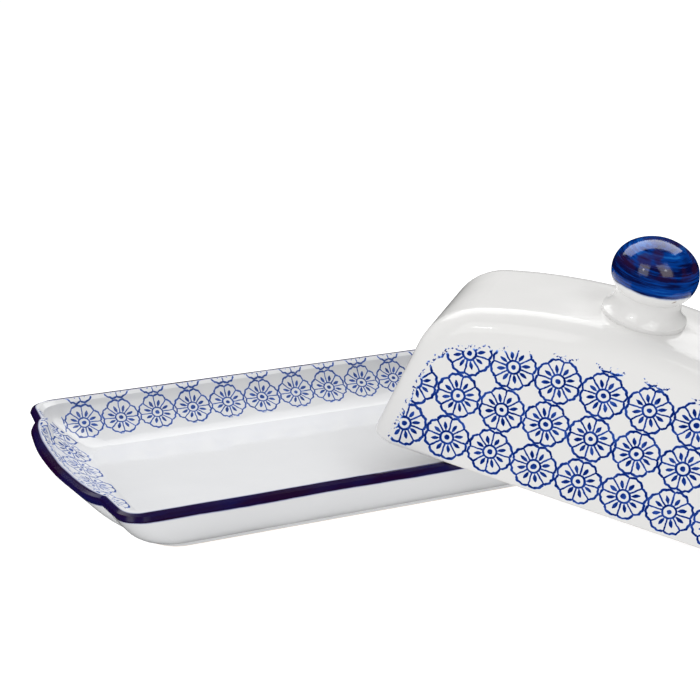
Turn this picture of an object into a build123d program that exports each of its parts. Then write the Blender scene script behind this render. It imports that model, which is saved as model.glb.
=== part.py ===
"""Butter dish: a shallow flared tray and a loaf-shaped cover with a ball knob.

All sizes are in millimetres. The origin is the centre of the tray's foot, on the table,
with X along the tray, Y across it and Z up. The tray stands on the table and the cover
leans on it: its near side crosses the tray's long rim, its far side crosses the rim of the
tray's end, and its lowest corner stands on the table.
"""

import os
from math import atan2, cos, degrees, radians, sin, tan

from build123d import *

# Tray, overall
TRAY_HALF_LENGTH = 93.3  # to the ears at the corners
TRAY_HALF_WIDTH = 59.0
TRAY_HEIGHT = 23.0
EAR_RADIUS = 9.0
EAR_SPLAY = 1.1  # how far an ear leans out from the corner to the notch beside the lobe
LOBE_WIDTH_SHARE = 0.66  # the lobe on a short side, from notch to notch
LOBE_BULGE = 7.8  # how far the middle of a lobe stands past the ears
LOBE_SHOULDERS = [(0.88, 0.42), (0.68, 0.68), (0.3, 0.95)]  # shares of its width and bulge
FLOOR_BULGE = 0.6  # the same, down at the foot

# Tray wall and floor. Each pair is a height and how far the wall has come in there.
OUTER_WALL = [(1.8, 20.5), (5.5, 14.2), (11.0, 8.2), (16.5, 3.6), (21.0, 0.0)]
OUTER_LIP = [(21.0, 0.0), (22.4, 0.5), (TRAY_HEIGHT, 1.5)]
FLOOR_TOP = 8.7
INNER_WALL = [(FLOOR_TOP, 20.0), (9.7, 17.0), (11.7, 13.7), (14.9, 9.0), (22.0, 4.4)]
INNER_LIP = [(22.0, 4.4), (TRAY_HEIGHT, 3.1), (TRAY_HEIGHT + 1, 1.8)]
FOOT_INSET = 21.4
END_INSET_SHARE = 0.84  # the short walls come in less than the long ones
FOOT_HEIGHT = 2.2
FOOT_WIDTH = 6.0
FOOT_RECESS = 3.2
FOOT_ROUND = 0.9

# Cover shell
COVER_HALF_LENGTH = 74.0
COVER_HALF_WIDTH = 36.0
COVER_HEIGHT = 56.0
CROWN_RADIUS = 184.0  # the top is an arch along the length
SHOULDER_ROUND = 23.0
END_LEAN = 12.7  # degrees that the ends lean inwards
SIDE_LEAN = 14.0  # degrees that the long sides lean inwards
RIDGE_ROUND = 9.0
SHELL = 4.0
LIP_ROUND = 1.2
VENT_RADIUS = 2.5

# Knob, heights above the cover's crown
KNOB_RADIUS = 14.0
KNOB_HALF_HEIGHT = 11.1
KNOB_WIDEST = 15.4
NECK_RADIUS = 11.0
NECK_HEIGHT = 5.0
COLLAR_RADIUS = 13.7
COLLAR_HEIGHT = 1.2
KNOB_SIDE_ROUND = 9.5
KNOB_HOLLOW = 7.6
KNOB_BORE = 5.0
KNOB_SEAT = 2.0  # how far the collar is first made into the crown, before it is fitted to it
KNOB_ANGLE = 48.0  # degrees below the widest ring where the ball runs into the neck

# Where the cover leans: the middle of its underside, then in degrees its turn about the
# upright, the tilt that lowers one end and the roll that lifts its far side.
COVER_CENTRE = (75.6, -66.6, 18.35)
COVER_TURN = -45.3
COVER_TILT = 11.65
COVER_ROLL = 7.2


def tray_outline(z, inset):
    """The tray's outline at a height: straight long sides, ears at the corners, lobed ends."""
    rim_share = max(0.0, 1 - inset / FOOT_INSET)
    half_x = TRAY_HALF_LENGTH - END_INSET_SHARE * inset
    half_y = TRAY_HALF_WIDTH - inset
    radius = EAR_RADIUS + 2.0 * (1 - rim_share)
    ear_y = half_y - radius
    notch_x = half_x + EAR_SPLAY * rim_share
    notch_y = LOBE_WIDTH_SHARE * half_y
    lobe_x = half_x + FLOOR_BULGE + (LOBE_BULGE - FLOOR_BULGE) * rim_share
    with BuildSketch(Plane.XY.offset(z)) as sketch:
        with BuildLine():
            for side in (1, -1):
                corner_in = (side * (half_x - radius), side * -half_y)
                corner_out = (side * half_x, side * -ear_y)
                notch_in = (side * notch_x, side * -notch_y)
                notch_out = (side * notch_x, side * notch_y)
                rise = [
                    (side * (notch_x + out * (lobe_x - notch_x)), side * across * notch_y)
                    for across, out in LOBE_SHOULDERS
                ]
                fall = [(x, -y) for x, y in rise]
                next_corner_in = (side * half_x, side * ear_y)
                next_corner_out = (side * (half_x - radius), side * half_y)
                Line((side * (radius - half_x), side * -half_y), corner_in)
                RadiusArc(corner_in, corner_out, -radius)
                Line(corner_out, notch_in)
                Spline(notch_in, *fall, (side * lobe_x, 0), *reversed(rise), notch_out)
                Line(notch_out, next_corner_in)
                RadiusArc(next_corner_in, next_corner_out, -radius)
        make_face()
    return sketch.sketch.faces()[0]


def tray_loft(levels, straight):
    """A solid through the tray's outline at each level, with straight or smooth sides."""
    return loft([tray_outline(z, inset) for z, inset in levels], ruled=straight)


def make_tray():
    """The tray: a flared bowl on a low foot ring, with a round-edged rim."""
    outside = tray_loft(OUTER_WALL, False) + tray_loft(OUTER_LIP, True)
    inside = tray_loft(INNER_WALL, False) + tray_loft(INNER_LIP, True)
    tray = outside - inside
    half_x = TRAY_HALF_LENGTH - END_INSET_SHARE * FOOT_INSET
    half_y = TRAY_HALF_WIDTH - FOOT_INSET
    with BuildPart() as foot:
        with BuildSketch():
            RectangleRounded(2 * half_x, 2 * half_y, EAR_RADIUS + 2)
        extrude(amount=FOOT_HEIGHT)
        fillet(foot.faces().sort_by(Axis.Z)[0].outer_wire().edges(), FOOT_ROUND)
    with BuildPart() as recess:
        with BuildSketch():
            RectangleRounded(2 * (half_x - FOOT_WIDTH), 2 * (half_y - FOOT_WIDTH), EAR_RADIUS - 2)
        extrude(amount=FOOT_RECESS)
    return tray + foot.part - recess.part


def loaf(shrink, base):
    """A loaf form, smaller all round by shrink, with its flat underside at the height base."""
    end_tan = tan(radians(END_LEAN))
    side_tan = tan(radians(SIDE_LEAN))
    half_x = COVER_HALF_LENGTH - shrink / cos(radians(END_LEAN))
    half_y = COVER_HALF_WIDTH - shrink / cos(radians(SIDE_LEAN))
    radius = CROWN_RADIUS - shrink
    top = COVER_HEIGHT + 10
    with BuildPart() as form:
        with BuildSketch(Plane.XZ):
            with BuildLine():
                Polyline(
                    (half_x - base * end_tan, base),
                    (half_x - top * end_tan, top),
                    (-half_x + top * end_tan, top),
                    (-half_x + base * end_tan, base),
                    close=True,
                )
            make_face()
            with Locations((0, COVER_HEIGHT - CROWN_RADIUS)):
                Circle(radius, mode=Mode.INTERSECT)
            fillet(vertices().filter_by(lambda v: v.Y > COVER_HEIGHT / 2), SHOULDER_ROUND - shrink)
        extrude(amount=2 * COVER_HALF_WIDTH, both=True)
        with BuildSketch(Plane.YZ):
            with BuildLine():
                Polyline(
                    (half_y - base * side_tan, base),
                    (half_y - top * side_tan, top),
                    (-half_y + top * side_tan, top),
                    (-half_y + base * side_tan, base),
                    close=True,
                )
            make_face()
        extrude(amount=2 * COVER_HALF_LENGTH, both=True, mode=Mode.INTERSECT)
        sides = form.faces().sort_by(Axis.Y)
        ridges = [
            edge
            for face in (sides[0], sides[-1])
            for edge in face.edges()
            if edge.center().Z > base + 1
        ]
        fillet(ridges, RIDGE_ROUND - shrink)
    return form.part


def make_cover():
    """The cover's shell: a thin loaf, open below, with a vent under the knob."""
    shell = loaf(0, 0) - loaf(SHELL, -5)
    shell = fillet(shell.faces().sort_by(Axis.Z)[0].edges(), LIP_ROUND)
    return shell - Pos(0, 0, COVER_HEIGHT) * Cylinder(VENT_RADIUS, 4 * SHELL)


def make_knob():
    """The knob: a hollow flattened ball on a neck and collar, fitted to the cover's crown."""
    low = radians(KNOB_ANGLE)
    side_x = KNOB_RADIUS - KNOB_SIDE_ROUND
    rise = KNOB_HALF_HEIGHT - KNOB_SIDE_ROUND
    cap_drop = (side_x**2 - rise**2) / (2 * rise)
    cap_angle = degrees(atan2(cap_drop, side_x))
    ball_foot = (side_x + KNOB_SIDE_ROUND * cos(low), KNOB_WIDEST - KNOB_SIDE_ROUND * sin(low))
    with BuildPart() as knob:
        with BuildSketch(Plane.XZ):
            with BuildLine():
                CenterArc((side_x, KNOB_WIDEST), KNOB_SIDE_ROUND, -KNOB_ANGLE, KNOB_ANGLE + cap_angle)
                CenterArc(
                    (0, KNOB_WIDEST - cap_drop), KNOB_HALF_HEIGHT + cap_drop, cap_angle, 90 - cap_angle
                )
                ThreePointArc(ball_foot, (NECK_RADIUS, NECK_HEIGHT), (COLLAR_RADIUS, COLLAR_HEIGHT))
                Polyline(
                    (COLLAR_RADIUS, COLLAR_HEIGHT),
                    (COLLAR_RADIUS, -KNOB_SEAT),
                    (0, -KNOB_SEAT),
                    (0, KNOB_WIDEST + KNOB_HALF_HEIGHT),
                )
            make_face()
        revolve(axis=Axis.Z)
    solid = knob.part
    solid -= Pos(0, 0, KNOB_WIDEST) * Sphere(KNOB_HOLLOW)
    solid -= Pos(0, 0, KNOB_WIDEST / 2 - KNOB_SEAT) * Cylinder(KNOB_BORE, KNOB_WIDEST + 2)
    return Pos(0, 0, COVER_HEIGHT) * solid - loaf(0, 0)


def main():
    """Write one STEP file for each piece, with the cover and its knob where they lean."""
    os.makedirs("parts", exist_ok=True)
    lean = Pos(*COVER_CENTRE) * Rot(Z=COVER_TURN) * Rot(Y=COVER_TILT) * Rot(X=COVER_ROLL)
    pieces = {
        "tray": make_tray(),
        "cover_shell": lean * make_cover(),
        "cover_knob": lean * make_knob(),
    }
    for name, piece in pieces.items():
        export_step(piece, f"parts/{name}.step")


main()
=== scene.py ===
"""Looks of the butter dish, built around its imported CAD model.

The tray, the cover's shell and the cover's knob keep their CAD shapes. Each gets a glazed
ceramic material made only of shader nodes: white glaze, cobalt rosettes laid on as a printed
transfer, a hand-painted rim and a brushed knob. Lengths in the materials are in millimetres,
and those of the floor, the lights and the camera in metres.
"""

from math import cos, pi, radians, sin, tan

import bpy
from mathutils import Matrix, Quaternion, Vector

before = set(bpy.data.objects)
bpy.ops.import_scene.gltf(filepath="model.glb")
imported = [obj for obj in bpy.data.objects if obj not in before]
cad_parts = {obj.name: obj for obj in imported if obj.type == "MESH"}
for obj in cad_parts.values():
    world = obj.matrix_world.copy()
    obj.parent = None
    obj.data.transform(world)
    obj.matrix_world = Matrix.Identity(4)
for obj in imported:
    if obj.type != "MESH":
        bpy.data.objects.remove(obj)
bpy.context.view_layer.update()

# Cover, as the CAD model has it. It leans: the middle of its underside, then in degrees its
# roll, tilt and turn
COVER_CENTRE = (75.6, -66.6, 18.35)
COVER_ANGLES = (7.2, 11.65, -45.3)
COVER_HALF_LENGTH = 74.0
COVER_HEIGHT = 56.0
CROWN_RADIUS = 184.0
END_LEAN = radians(12.7)
SIDE_LEAN = radians(14.0)

# Tray, as the CAD model has it
TRAY_HALF_LENGTH = 93.3
TRAY_HALF_WIDTH = 59.0
FOOT_INSET = 21.4
END_INSET_SHARE = 0.84
EAR_RADIUS = 9.0
EAR_SPLAY = 1.1
LOBE_WIDTH_SHARE = 0.66
LOBE_BULGE = 7.8

# Rosette, in radii of its own circle
PETALS = 8
SCALLOPS = 3  # to a petal
OUTLINE = 0.98
RING = 0.29
LEAF_START = 0.32
LEAF_LENGTH = 0.42
LEAF_WIDTH = 0.36

# Transfer on the cover: middle of the first rosette, distances between them, and margins
COVER_FIRST_COLUMN = -62.8
COVER_FIRST_ROW = 8.9
COVER_PITCH = 15.0
COVER_ROW_PITCH = 14.7
COVER_END_MARGIN = 6.4
COVER_CROWN_MARGIN = 10.0
COVER_FOOT_MARGIN = 1.6
COVER_CORNER_ROUND = 14.0
COVER_OUTSIDE = 34.6  # how far out the shell's outer face begins, at the foot

# Transfer on the tray's long and short walls: how far in from the long side, or out from the
# middle, the foot of each strip is, its height, and what strip() takes
SIDE_STRIP_INSET = 14.9
SIDE_STRIP_HEIGHT = 11.0
SIDE_STRIP = {"first": -73.6, "pitch": 14.2, "half_length": 81.6, "rag": 2.0, "weight": 0.032}
END_STRIP_REACH = 77.7
END_STRIP_HEIGHT = 9.1
END_STRIP = {"first": -46.0, "pitch": 15.2, "half_length": 49.0, "rag": 3.0, "weight": 0.03}

# Painted rim: height of its lower edge, how far it comes in over the top, and how much lower
# it comes on the short sides
RIM_FOOT = 19.9
RIM_WIDTH = 2.2
RIM_END_DROP = 1.2

# Knob, in the cover's own frame: height of the paint's edge, and the place of an iron fleck
KNOB_PAINT_EDGE = 68.5
FLECK = (9.2, -9.7, 67.4)

# Camera's turn about the upright. The lights stand around the dish as the camera sees it.
VIEW_TURN = radians(-24.11)
LIT_POINT = (0.05, -0.04, 0.04)

# Colours, linear
GLAZE_WHITE = (0.705, 0.71, 0.72, 1)
COVER_WHITE = (0.725, 0.72, 0.71, 1)
BISQUE = (0.78, 0.70, 0.62, 1)
INK_WASH = (0.15, 0.32, 0.82, 1)
INK_THIN = (0.001, 0.035, 0.31, 1)
INK_THICK = (0.001, 0.005, 0.07, 1)
RIM_DARK = (0.012, 0.001, 0.024, 1)
RIM_BLUE = (0.003, 0.008, 0.085, 1)
KNOB_NAVY = (0.002, 0.004, 0.045, 1)
KNOB_BLUE = (0.001, 0.042, 0.26, 1)
KNOB_LIGHT = (0.008, 0.11, 0.42, 1)
KNOB_PLUM = (0.030, 0.006, 0.020, 1)
IRON_FLECK = (0.16, 0.08, 0.05, 1)


class Field:
    """A number that varies over a surface: one shader socket. Arithmetic on it adds nodes."""

    def __init__(self, tree, socket):
        self.tree = tree
        self.socket = socket

    def math(self, operation, *others, clamp=False):
        node = self.tree.nodes.new("ShaderNodeMath")
        node.operation = operation
        node.use_clamp = clamp
        for slot, value in zip(node.inputs, (self, *others)):
            plug(self.tree, slot, value)
        return Field(self.tree, node.outputs[0])

    def __add__(self, other):
        return self.math("ADD", other)

    def __radd__(self, other):
        return self.math("ADD", other)

    def __sub__(self, other):
        return self.math("SUBTRACT", other)

    def __rsub__(self, other):
        return self.math("MULTIPLY_ADD", -1.0, other)

    def __mul__(self, other):
        return self.math("MULTIPLY", other)

    def __rmul__(self, other):
        return self.math("MULTIPLY", other)

    def __truediv__(self, other):
        return self.math("DIVIDE", other)

    def __pow__(self, other):
        return self.math("POWER", other)

    def __abs__(self):
        return self.math("ABSOLUTE")

    def low(self, other):
        return self.math("MINIMUM", other)

    def high(self, other):
        return self.math("MAXIMUM", other)

    def clamped(self):
        return self.math("ADD", 0.0, clamp=True)

    def rise(self, start, end):
        """0 below start, 1 above end and smooth between. Either may be a Field."""
        node = self.tree.nodes.new("ShaderNodeMapRange")
        node.interpolation_type = "SMOOTHSTEP"
        plug(self.tree, node.inputs["Value"], self)
        plug(self.tree, node.inputs["From Min"], start)
        plug(self.tree, node.inputs["From Max"], end)
        return Field(self.tree, node.outputs["Result"])

    def fall(self, start, end):
        """1 below start, 0 above end and smooth between."""
        return 1.0 - self.rise(start, end)


def plug(tree, slot, value):
    """Puts a number, a colour, a socket or a Field into a node's input."""
    if isinstance(value, Field):
        value = value.socket
    if isinstance(value, bpy.types.NodeSocket):
        tree.links.new(value, slot)
    else:
        slot.default_value = value


def hypot(a, b):
    return (a * a + b * b).math("SQRT")


def vector(tree, x, y, z=0.0):
    node = tree.nodes.new("ShaderNodeCombineXYZ")
    for slot, value in zip(node.inputs, (x, y, z)):
        plug(tree, slot, value)
    return node.outputs[0]


def parts_of(tree, socket):
    """The x, y and z of a vector, as Fields."""
    node = tree.nodes.new("ShaderNodeSeparateXYZ")
    plug(tree, node.inputs[0], socket)
    return [Field(tree, out) for out in node.outputs]


def noise_node(tree, place, scale, detail=2.0, roughness=0.5, stretch=(1, 1, 1)):
    """A smooth noise texture about 0.5, with scale features to one unit of place."""
    mapping = tree.nodes.new("ShaderNodeMapping")
    plug(tree, mapping.inputs["Vector"], place)
    mapping.inputs["Scale"].default_value = stretch
    node = tree.nodes.new("ShaderNodeTexNoise")
    plug(tree, node.inputs["Vector"], mapping.outputs[0])
    node.inputs["Scale"].default_value = scale
    node.inputs["Detail"].default_value = detail
    node.inputs["Roughness"].default_value = roughness
    return node


def noise(tree, place, scale, **form):
    return Field(tree, noise_node(tree, place, scale, **form).outputs["Fac"])


def mixed(tree, share, first, second):
    """The colour first where share is 0 and second where it is 1."""
    node = tree.nodes.new("ShaderNodeMix")
    node.data_type = "RGBA"
    plug(tree, node.inputs["Factor"], share)
    plug(tree, node.inputs[6], first)
    plug(tree, node.inputs[7], second)
    return node.outputs[2]


def make_rosettes():
    """A node group for the printed rosettes: a square lattice of touching eight-petalled
    flowers, one to each whole number of Across and Up. It gives the strength of the ink."""
    tree = bpy.data.node_groups.new("rosettes", "ShaderNodeTree")
    for name in ("Across", "Up", "Weight"):
        tree.interface.new_socket(name, in_out="INPUT", socket_type="NodeSocketFloat")
    tree.interface.new_socket("Ink", in_out="OUTPUT", socket_type="NodeSocketFloat")
    inputs = tree.nodes.new("NodeGroupInput")
    across, up, weight = (Field(tree, inputs.outputs[name]) for name in ("Across", "Up", "Weight"))

    # The place in its own rosette, wobbled, and two random numbers for each rosette
    place = vector(tree, across, up)
    wobble = noise_node(tree, place, 7.0, detail=3.0, roughness=0.6).outputs["Color"]
    wobble_x, wobble_y = parts_of(tree, wobble)[:2]
    column = across.math("ROUND")
    row = up.math("ROUND")
    dice = tree.nodes.new("ShaderNodeTexWhiteNoise")
    dice.noise_dimensions = "2D"
    plug(tree, dice.inputs["Vector"], vector(tree, column, row))
    dice_turn, dice_dot = parts_of(tree, dice.outputs["Color"])[:2]
    x = across - column + (wobble_x - 0.5) * 0.05
    y = up - row + (wobble_y - 0.5) * 0.05

    # The outline, drawn in between the petals. From_axis is 0 on a petal's axis and 1 between two.
    radius = hypot(x, y) * 2.0
    turn = y.math("ARCTAN2", x) * (PETALS / (2 * pi)) + (dice_turn - 0.5) * 0.10
    from_axis = abs(turn.math("FRACT") - 0.5) * 2.0
    waves = noise(tree, place, 10.0, detail=1.0) - 0.5
    scallops = (turn * (SCALLOPS * 2 * pi)).math("COSINE")
    edge = from_axis ** 4.0 * -0.12 + waves * 0.06 + scallops * 0.014 + OUTLINE
    outline = abs(radius - edge).fall(weight * 0.8, weight * 0.8 + 0.035)

    # The lines between the petals
    to_divider = radius * ((1.0 - from_axis) * (pi / PETALS)).math("SINE")
    within = radius.rise(RING, RING + 0.04) * (edge - radius).rise(-0.02, 0.02)
    divider = to_divider.fall(weight * 0.45, weight * 0.45 + 0.03) * within

    # A leaf on each petal's axis, then the ring and the dot in the middle
    along = ((radius - LEAF_START) / LEAF_LENGTH).clamped()
    width = along ** 1.2 * (1.0 - along) * LEAF_WIDTH
    to_axis = radius * (from_axis * (pi / PETALS)).math("SINE")
    leaf = (width - to_axis).rise(-0.014, 0.014) * width.rise(0.0, 0.02)
    ring = abs(radius - RING).fall(weight * 0.7, weight * 0.7 + 0.03)
    dot_size = dice_dot * 0.04 + 0.075
    dot = radius.fall(dot_size, dot_size + 0.035)

    outputs = tree.nodes.new("NodeGroupOutput")
    plug(tree, outputs.inputs["Ink"], outline.high(divider).high(leaf).high(ring).high(dot))
    return tree


def rosettes(tree, group, across, up, weight):
    """The ink of the rosettes at a place counted in rosettes across and up."""
    node = tree.nodes.new("ShaderNodeGroup")
    node.node_tree = group
    plug(tree, node.inputs["Across"], across)
    plug(tree, node.inputs["Up"], up)
    plug(tree, node.inputs["Weight"], weight)
    return Field(tree, node.outputs["Ink"])


def strip(tree, group, along, up, ragged, first, pitch, half_length, rag, weight):
    """The ink of a strip of rosettes, at a distance along it and up from its foot. The first
    rosette's middle is at first, and the strip's ends are uneven by rag."""
    ink = rosettes(tree, group, (along - first) / pitch, up / pitch - 0.5, weight)
    ends = (half_length - abs(along) + ragged * rag).rise(0.0, 0.3)
    return ink * up.rise(-0.35, -0.1) * ends


def up_wall(higher, further_out):
    """How far up a tray wall a place is from the foot of a strip, and negative below it."""
    return hypot(higher, further_out) * (higher + further_out).math("SIGN")


def new_material(name):
    """A material, its node tree, and the socket of the place on the object."""
    material = bpy.data.materials.new(name)
    material.use_nodes = True
    tree = material.node_tree
    coordinates = tree.nodes.new("ShaderNodeTexCoord")
    millimetres = tree.nodes.new("ShaderNodeVectorMath")
    millimetres.operation = "SCALE"
    plug(tree, millimetres.inputs[0], coordinates.outputs["Object"])
    millimetres.inputs["Scale"].default_value = 1000.0
    return material, tree, millimetres.outputs[0]


def upwardness(tree):
    """1 where the surface faces straight up and -1 where it faces straight down."""
    coordinates = tree.nodes.new("ShaderNodeTexCoord")
    return parts_of(tree, coordinates.outputs["Normal"])[2]


def into_cover(tree, place):
    """A place on the object, in the cover's own frame before it was leaned."""
    node = tree.nodes.new("ShaderNodeMapping")
    node.vector_type = "TEXTURE"
    plug(tree, node.inputs["Vector"], place)
    node.inputs["Location"].default_value = COVER_CENTRE
    node.inputs["Rotation"].default_value = [radians(angle) for angle in COVER_ANGLES]
    return node.outputs[0]


def glaze(tree, place, colour, bare, gloss, dull=0.0, relief=0.0):
    """Clear glaze over a colour: roughness that varies, slow waves and fine orange peel in the
    surface, with any dullness and relief of the paint. Where bare is 1 the clay is unglazed."""
    shader = tree.nodes["Principled BSDF"]
    plug(tree, shader.inputs["Base Color"], mixed(tree, bare, colour, BISQUE))
    shader.inputs["IOR"].default_value = 1.52
    shader.inputs["Specular IOR Level"].default_value = gloss
    smear = noise(tree, place, 0.09, detail=4.0)
    roughness = (smear - 0.35) * 0.16 + 0.07
    plug(tree, shader.inputs["Roughness"], (roughness.clamped() + dull).high(bare * 0.75))
    wave = noise(tree, place, 0.045, detail=1.0)
    peel = noise(tree, place, 0.5)
    grit = noise(tree, place, 6.0)
    height = wave * 0.4 + peel * 0.016 + grit * bare * 0.05 + relief
    bump = tree.nodes.new("ShaderNodeBump")
    bump.inputs["Distance"].default_value = 0.001
    bump.inputs["Strength"].default_value = 1.0
    plug(tree, bump.inputs["Height"], height)
    plug(tree, shader.inputs["Normal"], bump.outputs["Normal"])


def ink_colour(tree, place, ink, base, share):
    """The base colour with the ink over it. A pale wash bleeds from each line into the glaze,
    thin ink is a clear blue and thick ink is navy."""
    pooled = noise(tree, place, 0.35, detail=3.0)
    fine = noise(tree, place, 2.2)
    depth = (pooled - 0.5) * 1.2 + (fine - 0.5) * 0.9 + 0.55
    tone = mixed(tree, depth.clamped(), INK_THIN, INK_THICK)
    washed = mixed(tree, ink.rise(0.0, 0.45) * share, base, INK_WASH)
    strength = ((pooled - 0.5) * 0.5 + 0.96).clamped() * share
    return mixed(tree, ink.rise(0.25, 0.9) * strength, washed, tone)


def tray_insets(x, y):
    """How far in from the rim's outline a place on the tray's wall is: from a long side, from
    a short side with its ears and lobe, and from whichever is nearer, rounded at the corner."""
    notch = LOBE_WIDTH_SHARE * TRAY_HALF_WIDTH
    ear = TRAY_HALF_WIDTH - EAR_RADIUS
    lobe = (1.0 - abs(y / notch).low(1.0) ** 2.3) ** 0.7
    splay = ((ear - abs(y)) / (ear - notch)).clamped()
    bulge = lobe * (LOBE_BULGE - EAR_SPLAY) + splay * EAR_SPLAY
    from_side = TRAY_HALF_WIDTH - abs(y)
    from_end = (bulge + TRAY_HALF_LENGTH - abs(x)) / (bulge / FOOT_INSET + END_INSET_SHARE)
    corner = hypot((EAR_RADIUS - from_end).high(0.0), (EAR_RADIUS - from_side).high(0.0))
    return from_side, from_end, EAR_RADIUS - corner


def make_tray_material(group):
    material, tree, place = new_material("white_tray")
    x, y, z = parts_of(tree, place)
    facing_up = upwardness(tree)
    from_side, from_end, from_rim = tray_insets(x, y)

    # Two strips of the transfer, on the long walls and on the short walls
    up_side = up_wall(z - SIDE_STRIP_HEIGHT, SIDE_STRIP_INSET - from_side)
    up_end = up_wall(z - END_STRIP_HEIGHT, abs(x) - END_STRIP_REACH)
    on_end = (from_side - from_end).math("GREATER_THAN", 1.0)
    ragged = noise(tree, place, 0.55, detail=3.0) - 0.5
    side_print = strip(tree, group, x, up_side, ragged, **SIDE_STRIP) * (1.0 - on_end)
    end_print = strip(tree, group, y, up_end, ragged, **END_STRIP) * on_end
    on_inside = facing_up.rise(0.02, 0.06) * (from_rim + ragged * 0.4).rise(3.0, 3.3)
    base = ink_colour(tree, place, side_print.high(end_print) * on_inside, GLAZE_WHITE, 0.85)

    # Painted rim: the outer half of its top and the outside of the lip, with a thin blue fringe
    hand = noise(tree, place, 0.06, detail=3.0) - 0.5
    drop = (abs(x) - TRAY_HALF_LENGTH).rise(-6.0, 4.0) * RIM_END_DROP
    brush = z + hand * 1.4 + drop
    inner_edge = from_rim + hand * 0.8
    rim = brush.rise(RIM_FOOT, RIM_FOOT + 0.4) * inner_edge.fall(RIM_WIDTH, RIM_WIDTH + 0.4)
    fringe = brush.rise(RIM_FOOT - 0.6, RIM_FOOT + 0.2)
    fringe *= inner_edge.fall(RIM_WIDTH + 0.1, RIM_WIDTH + 1.0)
    streak = noise(tree, place, 0.3, detail=3.0, stretch=(0.15, 0.15, 1.0))
    rim_tone = mixed(tree, (streak - 0.42) * 2.6, RIM_DARK, RIM_BLUE)
    base = mixed(tree, fringe * 0.6, base, INK_THIN)
    base = mixed(tree, rim, base, rim_tone)

    # The foot ring stands unglazed
    bare = z.fall(0.35, 0.6) * (1.0 - facing_up.rise(-0.6, -0.2))
    glaze(tree, place, base, bare, gloss=0.3, dull=rim * 0.12)
    return material


def make_cover_material(group):
    material, tree, object_place = new_material("white_cover")
    place = into_cover(tree, object_place)
    x, y, z = parts_of(tree, place)

    up_face = z / cos(SIDE_LEAN)
    across = (x - COVER_FIRST_COLUMN) / COVER_PITCH
    up = (up_face - COVER_FIRST_ROW) / COVER_ROW_PITCH
    weight = x.fall(-60.0, -35.0) * 0.010 + 0.046
    ink = rosettes(tree, group, across, up, weight)

    # The transfer's outline: inside the ends, under the crown and above the edge. Past it a
    # few crumbs of the print are left.
    ragged = noise(tree, place, 0.5, detail=3.0) - 0.5
    in_end = (COVER_HALF_LENGTH - abs(x)) * cos(END_LEAN) - z * sin(END_LEAN) - COVER_END_MARGIN
    from_crown_centre = hypot(x, z + (CROWN_RADIUS - COVER_HEIGHT))
    in_crown = CROWN_RADIUS - COVER_CROWN_MARGIN - from_crown_centre
    inside = in_end.math("SMOOTH_MIN", in_crown, COVER_CORNER_ROUND) + ragged * 1.6
    whole = inside.rise(0.4, 1.4)
    crumbs = inside.rise(-0.9, -0.3) * noise(tree, place, 1.3).rise(0.52, 0.56)
    above_edge = (up_face - COVER_FOOT_MARGIN).rise(-0.2, 0.3)
    outside = (abs(y) + z * tan(SIDE_LEAN)).rise(COVER_OUTSIDE, COVER_OUTSIDE + 0.3)
    printed = whole.high(crumbs) * above_edge * outside
    base = ink_colour(tree, place, ink * printed, COVER_WHITE, 1.0)

    bare = z.fall(0.25, 0.5)
    glaze(tree, place, base, bare, gloss=0.32)
    return material


def make_knob_material():
    material, tree, object_place = new_material("brushed_knob")
    place = into_cover(tree, object_place)
    x, y, z = parts_of(tree, place)

    # Brush strokes run round the knob: their noise is read off a narrow ring, so it stretches
    # along the turn. The ball's top is painted a little lighter as a painted highlight, with plum
    # patches where paint pooled.
    turn = y.math("ARCTAN2", x)
    ring = vector(tree, turn.math("COSINE") * 3.0, turn.math("SINE") * 3.0, z)
    fine = noise(tree, ring, 1.6, detail=6.0, roughness=0.65, stretch=(0.22, 0.22, 1.0))
    broad = noise(tree, ring, 0.45, detail=3.0, stretch=(0.5, 0.5, 1.0))
    # Brush-stroke noise, plus a z term that paints the ball's top lighter: a painted highlight
    strokes_and_top_highlight = (fine - 0.5) * 2.6 + (broad - 0.5) * 1.6 + z.rise(76.0, 82.0) * 0.12 + 0.48
    cobalt = mixed(tree, strokes_and_top_highlight.rise(0.15, 0.75), KNOB_NAVY, KNOB_BLUE)
    cobalt = mixed(tree, strokes_and_top_highlight.rise(0.75, 1.15), cobalt, KNOB_LIGHT)
    pooled = noise(tree, place, 0.13).rise(0.51, 0.62) * z.rise(73.5, 77.0)
    cobalt = mixed(tree, pooled * 0.6, cobalt, KNOB_PLUM)

    # The paint's edge round the neck, with a pale blue fringe below it
    hand = noise(tree, ring, 0.6, detail=3.0, stretch=(0.6, 0.6, 0.2)) - 0.5
    level = z + hand * 2.2 - KNOB_PAINT_EDGE
    painted = level.rise(-0.15, 0.3)
    base = mixed(tree, level.rise(-0.7, 0.1) * 0.5, COVER_WHITE, KNOB_LIGHT)
    base = mixed(tree, painted, base, cobalt)

    fleck_x, fleck_y, fleck_z = FLECK
    slanted = (z - fleck_z - (x - fleck_x) * 0.5) * 2.0
    from_fleck = hypot(hypot(x - fleck_x, y - fleck_y) * 0.7, slanted)
    base = mixed(tree, from_fleck.fall(0.3, 0.75) * 0.8, base, IRON_FLECK)

    bare = z.fall(0.0, 0.1)
    glaze(tree, place, base, bare, gloss=0.5, relief=strokes_and_top_highlight * painted * 0.012)
    return material


def dress(name, material):
    """Puts one material on a CAD node."""
    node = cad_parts[name]
    node.data.materials.clear()
    node.data.materials.append(material)


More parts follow.
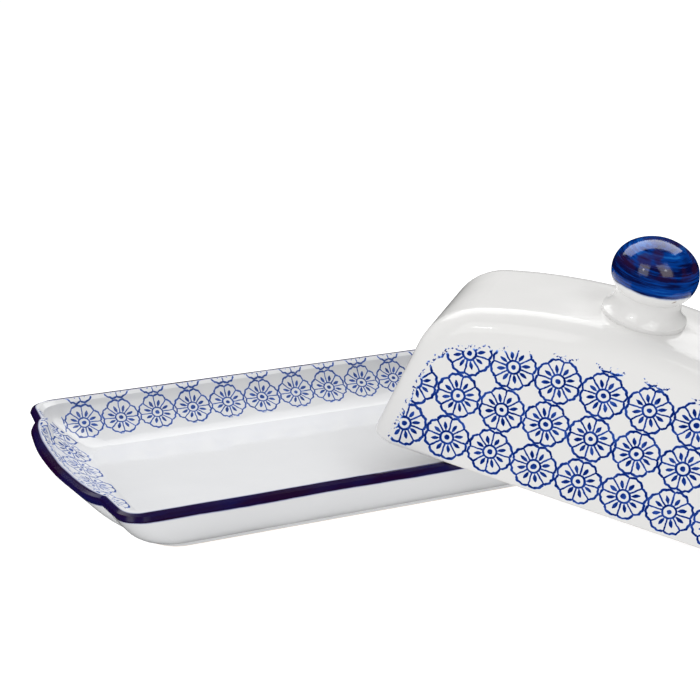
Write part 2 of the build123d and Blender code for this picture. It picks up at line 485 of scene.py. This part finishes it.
def make_floor():
    """A plain pale floor that glows evenly, as a light table does."""
    size = 60.0
    mesh = bpy.data.meshes.new("floor")
    corners = [(-size, -size, 0), (size, -size, 0), (size, size, 0), (-size, size, 0)]
    mesh.from_pydata(corners, [], [(0, 1, 2, 3)])
    floor = bpy.data.objects.new("floor", mesh)
    bpy.context.scene.collection.objects.link(floor)
    material = bpy.data.materials.new("floor")
    material.use_nodes = True
    shader = material.node_tree.nodes["Principled BSDF"]
    shader.inputs["Base Color"].default_value = (0.35, 0.35, 0.35, 1)
    shader.inputs["Roughness"].default_value = 0.9
    shader.inputs["Specular IOR Level"].default_value = 0.0
    shader.inputs["Emission Color"].default_value = (1, 1, 1, 1)
    shader.inputs["Emission Strength"].default_value = 0.86
    mesh.materials.append(material)
    floor.visible_glossy = False


def add_softbox(name, place, width, height, power, reflected=True):
    """An area light that faces the dish. Its place is right, ahead and up from the lit point,
    as the camera sees it."""
    light = bpy.data.lights.new(name, "AREA")
    light.shape = "RECTANGLE"
    light.size = width
    light.size_y = height
    light.energy = power
    box = bpy.data.objects.new(name, light)
    bpy.context.scene.collection.objects.link(box)
    box.visible_glossy = reflected
    turn = Quaternion((0, 0, 1), VIEW_TURN)
    box.location = Vector(LIT_POINT) + turn @ Vector(place)
    box.rotation_mode = "QUATERNION"
    box.rotation_quaternion = turn @ (-Vector(place)).to_track_quat("-Z", "Y")


def make_lights():
    """A pale room, a broad panel overhead and behind, a dim one at the left, and in front two
    softboxes with brighter middles."""
    world = bpy.data.worlds.new("studio")
    bpy.context.scene.world = world
    world.use_nodes = True
    background = world.node_tree.nodes["Background"]
    background.inputs["Color"].default_value = (1, 1, 1, 1)
    background.inputs["Strength"].default_value = 0.4
    world.cycles_visibility.glossy = False
    add_softbox("overhead", (0.05, 0.85, 1.12), 2.2, 0.9, 18.0)
    add_softbox("side", (-1.6, 0.1, 0.7), 1.2, 1.2, 6.5, reflected=False)
    for name, right in (("left", -0.95), ("right", 0.55)):
        add_softbox(name + "_box", (right, -1.12, 1.1), 0.8, 1.3, 6.8)
        add_softbox(name + "_core", (right * 0.98, -1.1, 1.08), 0.12, 0.12, 0.6)


def make_camera():
    """The photograph's viewpoint, looking about 17 degrees down."""
    camera = bpy.data.cameras.new("camera")
    camera.sensor_width = 36.0
    camera.lens = 81.2
    camera.shift_x = 0.0524
    camera.shift_y = -0.002
    eye = bpy.data.objects.new("camera", camera)
    bpy.context.scene.collection.objects.link(eye)
    eye.location = (-0.2202, -0.4846, 0.2158)
    eye.rotation_euler = (radians(90 - 17.45), 0.0, VIEW_TURN)
    bpy.context.scene.camera = eye


rosette_group = make_rosettes()
dress("tray", make_tray_material(rosette_group))
dress("cover_shell", make_cover_material(rosette_group))
dress("cover_knob", make_knob_material())
make_floor()
make_lights()
make_camera()
bpy.context.scene.view_settings.view_transform = "Standard"
